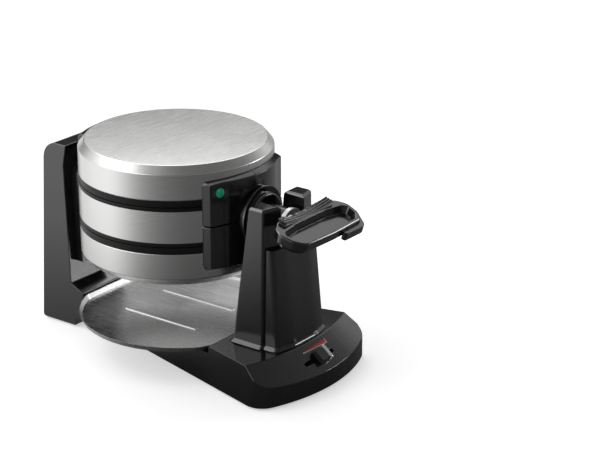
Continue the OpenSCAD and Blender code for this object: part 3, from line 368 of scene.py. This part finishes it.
def moulded(name, colour, rough, spread=0.08, grain_scale=1400.0, grain=0.08, ior=1.5):
    """Moulded plastic or rubber: a fine grain, and a gloss a little uneven from handling."""
    material, tree, shader, point = new_finish(name, IOR=ior)
    pores = place_group(tree, fine_grain, point, Scale=grain_scale)
    marks = place_group(tree, soft_marks, point, Scale=14.0)
    handled = map_range(tree, marks.outputs["Mask"], 0, 1, rough, rough + spread)
    tree.links.new(handled, shader.inputs["Roughness"])
    lighter = [c * 1.25 + 0.001 for c in colour]
    tint = mix_colour(tree, marks.outputs["Mask"], colour, lighter)
    tree.links.new(tint, shader.inputs["Base Color"])
    bump(tree, shader, pores.outputs["Height"], grain, GRAIN_DEPTH)
    return material


def tray_steel():
    """The tray's satin steel, brushed along its length."""
    material, tree, shader, point = new_finish("tray_satin", Metallic=1.0, Anisotropic=0.35)
    stretch = add(tree, "Mapping", vector_type="POINT", Scale=(24, 2200, 2200))
    tree.links.new(point, stretch.inputs["Vector"])
    noise = add(tree, "TexNoise", Scale=1.0, Detail=3.0)
    tree.links.new(stretch.outputs[0], noise.inputs["Vector"])
    marks = place_group(tree, soft_marks, point, Scale=12.0)
    rough = map_range(tree, noise.outputs["Fac"], *NOISE_BAND, 0.2, 0.28)
    uneven_rough(tree, shader, rough, marks, 0.05)
    tint = mix_colour(tree, noise.outputs["Fac"], (0.62, 0.62, 0.62), (0.74, 0.74, 0.74))
    tree.links.new(tint, shader.inputs["Base Color"])
    bump(tree, shader, noise.outputs["Fac"], 0.1, STEEL_DEPTH)
    return material


def cooking_coat():
    """Cast plates under a dark non-stick coat with a faint fleck."""
    material, tree, shader, point = new_finish(
        "cooking_coat", Metallic=0.2, Coat_Weight=0.35, Coat_Roughness=0.3)
    fleck = add(tree, "TexVoronoi", Scale=900.0)
    tree.links.new(point, fleck.inputs["Vector"])
    speck = map_range(tree, fleck.outputs["Distance"], 0.06, 0.16, 1.0, 0.0)
    marks = place_group(tree, soft_marks, point, Scale=22.0)
    base = mix_colour(tree, marks.outputs["Mask"], (0.022, 0.022, 0.024), (0.034, 0.033, 0.034))
    tint = mix_colour(tree, speck, base, (0.12, 0.12, 0.125))
    tree.links.new(tint, shader.inputs["Base Color"])
    wiped = map_range(tree, marks.outputs["Mask"], 0, 1, 0.34, 0.46)
    tree.links.new(wiped, shader.inputs["Roughness"])
    grain = place_group(tree, fine_grain, point, Scale=1100.0)
    bump(tree, shader, grain.outputs["Height"], 0.2, GRAIN_DEPTH)
    return material


def green_lens():
    """The ready light's tinted lens, faintly lit and a little uneven in its green."""
    material, tree, shader, point = new_finish(
        "green_lens", Roughness=0.12, Coat_Weight=0.6, Coat_Roughness=0.05, Emission_Strength=0.25)
    marks = place_group(tree, soft_marks, point, Scale=160.0)
    tint = mix_colour(tree, marks.outputs["Mask"], (0.004, 0.18, 0.1), (0.008, 0.3, 0.17))
    tree.links.new(tint, shader.inputs["Base Color"])
    tree.links.new(tint, shader.inputs["Emission Color"])
    return material


steel = brushed_steel("brushed_cap", (0.86, 0.86, 0.85), 0.18, 0.27, anisotropy=0.75)
steel_top = brushed_steel("brushed_cap_top", (0.86, 0.86, 0.85), 0.22, 0.3, anisotropy=0.0)
# The slope's copy of the cap steel is darker (0.8 against 0.86): painted shade on the chamfer. Its
# roughness is its own.
shaded_slope_steel = brushed_steel("brushed_cap_slope_shaded", (0.8, 0.8, 0.79), 0.25, 0.31, anisotropy=0.0)
tray = tray_steel()
shaft = plain_steel("turned_shaft", (0.55, 0.55, 0.54), 0.3)
# Near-black steel for the front shaft end: painted shade and dark reflection, where the steel
# shaft lies under the handle.
shade_dark_shaft = plain_steel("shaft_painted_dark", (0.05, 0.05, 0.05), 0.24)
bright = plain_steel("bright_trim", (0.86, 0.86, 0.86), 0.2)
shield = plain_steel("bright_shield", (0.85, 0.85, 0.85), 0.16, 500.0)
tube = plain_steel("element_tube", (0.3, 0.28, 0.27), 0.42, 700.0)
gloss = moulded("gloss_black", (0.006, 0.006, 0.0063), 0.11, 0.05, grain=0.02, ior=1.85)
satin = moulded("satin_ring", (0.005, 0.005, 0.0053), 0.3, 0.1, 900.0, 0.1, ior=1.32)
matte = moulded("matte_black", (0.011, 0.011, 0.0115), 0.42, 0.12, 800.0, 0.3)
rubber = moulded("black_rubber", (0.02, 0.02, 0.02), 0.72, 0.12, 500.0, 0.4)
natural = moulded("natural_bush", (0.62, 0.6, 0.54), 0.45)
print_red = moulded("scale_red", (0.42, 0.012, 0.016), 0.5, 0.05)
print_white = moulded("scale_white", (0.72, 0.72, 0.72), 0.5, 0.05)
board = moulded("board_green", (0.02, 0.12, 0.05), 0.3, 0.1)
coat = cooking_coat()
lens = green_lens()

# The finish of each slot
FINISH = {
    "steel_cap": steel, "tray_metal": tray, "gloss_black": gloss, "ring_black": satin,
    "matte_black": matte, "plate_coating": coat, "element_tube": tube, "shield_metal": shield,
    "shaft_metal": shaft, "rubber_black": rubber, "bush_plastic": natural,
    "scale_red": print_red, "lens_green": lens, "board_green": board,
}


# Tools for the pieces

WELD = 0.03 * MM                # corners nearer than this are one
FLAT = math.radians(0.6)        # faces nearer to flat than this are one
SHARP = math.radians(12)        # an edge that ease() bevels is at least this sharp
SMOOTH_UNDER = math.radians(35)
NODE_SMOOTH_UNDER = math.radians(30)


def alone(piece):
    """Makes one piece the only selected one."""
    bpy.ops.object.select_all(action="DESELECT")
    bpy.context.view_layer.objects.active = piece
    piece.select_set(True)


def copy_of(node, name):
    """A copy of a CAD node with its triangles merged into whole faces."""
    piece = bpy.data.objects.new(name, frame["nodes"][node].data.copy())
    bpy.context.scene.collection.objects.link(piece)
    alone(piece)
    bpy.ops.mesh.customdata_custom_splitnormals_clear()
    bpy.ops.object.mode_set(mode="EDIT")
    bpy.ops.mesh.select_all(action="SELECT")
    bpy.ops.mesh.remove_doubles(threshold=WELD)
    bpy.ops.mesh.dissolve_limited(angle_limit=FLAT)
    bpy.ops.object.mode_set(mode="OBJECT")
    return piece


def round_edges(piece, width, segments, angle):
    """Rounds every edge that is sharper than an angle in degrees."""
    alone(piece)
    bevel = piece.modifiers.new("edges", "BEVEL")
    bevel.width = width
    bevel.segments = segments
    bevel.limit_method = "ANGLE"
    bevel.angle_limit = math.radians(angle)
    bevel.use_clamp_overlap = False
    bevel.miter_outer = "MITER_ARC"
    bpy.ops.object.modifier_apply(modifier="edges")


def ease(piece, width, segments, wanted):
    """Bevels the sharp edges whose two ends both lie where they are wanted."""
    alone(piece)
    bpy.ops.object.mode_set(mode="EDIT")
    bpy.context.tool_settings.mesh_select_mode = (False, True, False)
    bpy.ops.mesh.select_all(action="DESELECT")
    mesh = bmesh.from_edit_mesh(piece.data)
    for edge in mesh.edges:
        sharp = len(edge.link_faces) == 2 and edge.calc_face_angle(0) > SHARP
        edge.select_set(sharp and all(wanted(v.co) for v in edge.verts))
    bmesh.update_edit_mesh(piece.data)
    bpy.ops.mesh.bevel(offset=width, segments=segments, affect="EDGES", clamp_overlap=True)
    bpy.ops.object.mode_set(mode="OBJECT")


def smooth(piece):
    """Shades a piece smooth over its rounded edges, with its broad faces kept flat."""
    alone(piece)
    bpy.ops.object.shade_smooth_by_angle(angle=SMOOTH_UNDER)
    lean = piece.modifiers.new("shading", "WEIGHTED_NORMAL")
    lean.keep_sharp = True
    bpy.ops.object.modifier_apply(modifier="shading")


def settle(piece, finish, node):
    """Gives a finished piece the body of the CAD node it stands for, and its finish, and hides the
    node.

    A piece that already has more than one material keeps them.
    """
    if len(piece.data.materials) < 2:
        piece.data.materials.clear()
        piece.data.materials.append(finish)
    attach(piece, BODY[node])
    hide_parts(node)


def dress(node, name, edge, segments, angle, finish=None, first=None):
    """A CAD node's form with rounded edges, in its slot's finish or another.

    What first does to the piece comes before its edges are rounded.
    """
    piece = copy_of(node, name)
    if first:
        first(piece)
    round_edges(piece, edge, segments, angle)
    smooth(piece)
    settle(piece, finish or FINISH[SLOT[node]], node)


# Pieces that keep the CAD form, with their edges rounded

# Node, piece, rounding in millimetres, its segments, and the least angle that is rounded
ROUNDED = [
    ("base_bottom_plate", "base_floor", 0.4, 2, 30),
    ("rear_stand", "stand_moulding", 0.9, 3, 24),
    ("rear_stand_cover", "stand_back_cover", 0.4, 2, 30),
    ("rear_bearing_block", "bearing_block", 0.9, 3, 30),
    ("cord_gland", "cord_grommet", 0.3, 2, 30),
    ("front_cradle", "shaft_cradle", 0.4, 2, 30),
    ("core_hinge_bracket", "hinge_bracket", 0.5, 2, 30),
    ("front_hub", "hub", 0.7, 3, 30),
    ("handle_yoke", "yoke", 0.5, 2, 30),
    ("upper_hinge_cover", "upper_hinge_shroud", 0.8, 3, 30),
    ("lower_hinge_cover", "lower_hinge_shroud", 0.8, 3, 30),
    ("handle_grip", "grip", 0.4, 2, 34),
    ("handle_under_shell", "grip_underside", 0.5, 2, 34),
    ("handle_thumb_tab", "thumb_tab", 0.7, 3, 30),
    ("core_band", "core_wall", 0.2, 2, 30),
    ("core_upper_bezel", "core_ring_upper", 0.4, 2, 30),
    ("core_lower_bezel", "core_ring_lower", 0.4, 2, 30),
    ("upper_lid_bezel", "lid_ring_upper", 0.4, 2, 30),
    ("lower_lid_bezel", "lid_ring_lower", 0.4, 2, 30),
    ("upper_lid_plate", "upper_waffle_plate", 0.5, 2, 30),
    ("lower_lid_plate", "lower_waffle_plate", 0.5, 2, 30),
    ("core_upper_plate", "core_waffle_plate_upper", 0.5, 2, 30),
    ("core_lower_plate", "core_waffle_plate_lower", 0.5, 2, 30),
    ("browning_knob", "slider_knob", 0.5, 3, 30),
]

for node, name, edge, segments, angle in ROUNDED:
    dress(node, name, edge * MM, segments, angle)
dress("browning_knob_trim", "slider_bar", 0.9 * MM, 3, 30, finish=bright)
dress("drip_tray", "tray_pan", 0.3 * MM, 2, 30)


# Mouldings with broader edges in places

post_low, post_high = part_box("front_post")
cover_low, cover_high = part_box("front_post_cover")
DECK = post_low.z
NEAR = 0.3 * MM                         # an end this near to a level lies on it
PRONG_CHAMFER = 2.4 * MM
SKIRT_ROUND = 1.7 * MM
SKIRT_REACH = 40 * MM                   # past this width only the post's skirt is left
PANEL_ROUND = 4 * MM
PANEL_FOOT = (20.5 * MM, 26 * MM)       # heights between which the panel's lower edge lies


def soften_post(piece):
    """Chamfers the tops of the prongs and rounds the foot of the skirt."""
    ease(piece, PRONG_CHAMFER, 1, lambda co: co.z > post_high.z - NEAR)
    ease(piece, SKIRT_ROUND, 3, lambda co: co.z < DECK + NEAR and abs(co.y) > SKIRT_REACH)


def soften_cover(piece):
    """Rounds the foot of the cover where it stands out from the post."""
    ease(piece, SKIRT_ROUND, 3, lambda co: co.z < DECK + NEAR and co.x > post_high.x)


def soften_base(piece):
    """Rounds the lower edge of the sloped panel."""
    low, high = PANEL_FOOT
    ease(piece, PANEL_ROUND, 4, lambda co: low < co.z < high and co.x > cover_high.x)


dress("front_post", "post_moulding", 0.5 * MM, 2, 24, first=soften_post)
dress("front_post_cover", "post_cover", 0.5 * MM, 2, 40, first=soften_cover)
dress("base_shell", "base_moulding", 0.6 * MM, 3, 24, first=soften_base)
dress("upper_front_housing", "upper_housing", 0.8 * MM, 3, 18)
dress("lower_front_housing", "lower_housing", 0.8 * MM, 3, 18)
# The front shaft end is painted near-black as shade, in place of the steel's own colour.
dress("front_shaft", "shaft_end", 0.4 * MM, 2, 30, finish=shade_dark_shaft)


# Share of a face's normal that points up, on a cap's flat top and on its slope
TOP_FACE = 0.98
SLOPE_FACE = 0.25


def dress_cap(node, name):
    """A lid's steel cap, with finishes of their own on its flat top and on its slope; the slope's
    steel is painted darker, as shade on the chamfer.
    """
    piece = copy_of(node, name)
    round_edges(piece, 0.9 * MM, 3, 25)
    smooth(piece)
    piece.data.materials.clear()
    for finish in (steel, steel_top, shaded_slope_steel):
        piece.data.materials.append(finish)
    for face in piece.data.polygons:
        tilt = abs(face.normal.z)
        face.material_index = 1 if tilt > TOP_FACE else 2 if tilt > SLOPE_FACE else 0
    settle(piece, steel, node)


dress_cap("upper_lid_cap", "upper_cap")
dress_cap("lower_lid_cap", "lower_cap")


SCALE_BORDER = 0.5 * MM         # of white round the red


def dress_scale(node, name):
    """The printed scale: a white wedge with a red one inset in it."""
    piece = copy_of(node, name)
    piece.data.materials.clear()
    piece.data.materials.append(print_white)
    piece.data.materials.append(print_red)
    alone(piece)
    bpy.ops.object.mode_set(mode="EDIT")
    bpy.context.tool_settings.mesh_select_mode = (False, False, True)
    bpy.ops.mesh.select_all(action="DESELECT")
    mesh = bmesh.from_edit_mesh(piece.data)
    for face in mesh.faces:
        face.select_set(face.normal.z > 0.5)      # the printed side only
    bmesh.update_edit_mesh(piece.data)
    bpy.ops.mesh.inset(thickness=SCALE_BORDER, use_boundary=True)
    mesh = bmesh.from_edit_mesh(piece.data)
    for face in mesh.faces:
        face.material_index = int(face.select)
    bmesh.update_edit_mesh(piece.data)
    bpy.ops.object.mode_set(mode="OBJECT")
    settle(piece, print_white, node)


dress_scale("browning_scale", "scale_print")


# The CAD nodes that stay as they are, in their finishes

shown = {n for n, o in frame["nodes"].items() if not o.hide_render}
for node in sorted(shown):
    part = frame["nodes"][node]
    part.data.materials.clear()
    part.data.materials.append(FINISH[SLOT[node]])
    alone(part)
    bpy.ops.object.shade_smooth_by_angle(angle=NODE_SMOOTH_UNDER)


# Floor, studio and lamps

FLOOR_RADIUS = 14
PAPER = (0.86, 0.86, 0.86, 1)
FLOOR_LIFT = 0.5        # what the camera sees on top of the lit paper, so that it is white
# How much of the studio's light a glossy piece finds in the floor at a distance in metres: painted
# shade, darker near the machine in place of its shadow there
FLOOR_NEAR_SHADE = [(0.1, 0.3), (0.3, 0.6), (0.5, 0.9), (0.7, 1.0)]


def make_floor():
    """A round of white paper that keeps the shadow, and mirrors as the studio's low light does,
    with painted shade near the machine in what it mirrors.
    """
    bpy.ops.object.select_all(action="DESELECT")
    bpy.ops.mesh.primitive_circle_add(
        vertices=96, radius=FLOOR_RADIUS, fill_type="NGON", location=(0, 0, 0))
    floor = bpy.context.active_object
    floor.name = "floor"
    material = bpy.data.materials.new("floor_paper")
    material.use_nodes = True
    tree = material.node_tree
    tree.nodes.clear()
    where = add(tree, "TexCoord")
    path = add(tree, "LightPath")
    spot = about(tree, where.outputs["Object"], (HEAD.x, 0, 0))
    level = place_group(tree, studio_glow, spot)
    reach = add(tree, "VectorMath", operation="LENGTH")
    tree.links.new(spot, reach.inputs[0])
    # painted shade: what glossy pieces see of the floor fades near the machine, in place of its
    # shadow
    near = ramp(tree, reach.outputs["Value"], FLOOR_NEAR_SHADE)
    shine = math_node(tree, "MULTIPLY", level.outputs["Level"], near)
    paper = add(tree, "BsdfDiffuse", Color=PAPER)
    lift = add(tree, "Emission")
    seen = math_node(tree, "MULTIPLY", path.outputs["Is Camera Ray"], FLOOR_LIFT)
    tree.links.new(seen, lift.inputs["Strength"])
    both = add(tree, "AddShader")
    tree.links.new(paper.outputs[0], both.inputs[0])
    tree.links.new(lift.outputs[0], both.inputs[1])
    mirrored = add(tree, "Emission")
    tree.links.new(shine, mirrored.inputs["Strength"])
    choice = add(tree, "MixShader")
    tree.links.new(path.outputs["Is Glossy Ray"], choice.inputs[0])
    tree.links.new(both.outputs[0], choice.inputs[1])
    tree.links.new(mirrored.outputs[0], choice.inputs[2])
    out = add(tree, "OutputMaterial")
    tree.links.new(choice.outputs[0], out.inputs["Surface"])
    material.cycles.emission_sampling = "NONE"
    floor.data.materials.append(material)


def make_studio():
    """White behind the object, and the studio's glow for all that it lights or mirrors in."""
    world = bpy.data.worlds.new("studio")
    bpy.context.scene.world = world
    world.use_nodes = True
    tree = world.node_tree
    tree.nodes.clear()
    where = add(tree, "TexCoord")
    path = add(tree, "LightPath")
    level = place_group(tree, studio_glow, where.outputs["Generated"])
    seen = mix_colour(tree, path.outputs["Is Camera Ray"], level.outputs["Level"], (1, 1, 1))
    glow = add(tree, "Background")
    tree.links.new(seen, glow.inputs["Color"])
    out = add(tree, "OutputWorld")
    tree.links.new(glow.outputs[0], out.inputs["Surface"])


def softbox(name, place, aim, width, height, power):
    """A soft rectangular lamp that looks at a point, by sizes in metres and power in watts."""
    data = bpy.data.lights.new(name, "AREA")
    data.shape = "RECTANGLE"
    data.size = width
    data.size_y = height
    data.energy = power
    lamp = bpy.data.objects.new(name, data)
    lamp.location = place
    lamp.rotation_euler = (Vector(aim) - Vector(place)).to_track_quat("-Z", "Y").to_euler()
    bpy.context.scene.collection.objects.link(lamp)


# Lamp, place, the point it looks at, width, height and power
LAMPS = [
    ("left_box", (-0.7, -1.6, 0.75), (0, 0, 0.15), 2.0, 1.2, 9),
    ("left_edge_box", (-0.84, -0.54, 1.22), (0, 0, 0.1), 1.1, 0.4, 2.5),
    ("right_edge_box", (0.88, 1.12, 0.5), (0, 0, 0.1), 0.5, 0.2, 2.4),
    ("back_box", (-0.38, 0.48, 0.66), (0, 0, 0.24), 0.5, 0.25, 0.75),
]

make_floor()
make_studio()
for lamp in LAMPS:
    softbox(*lamp)
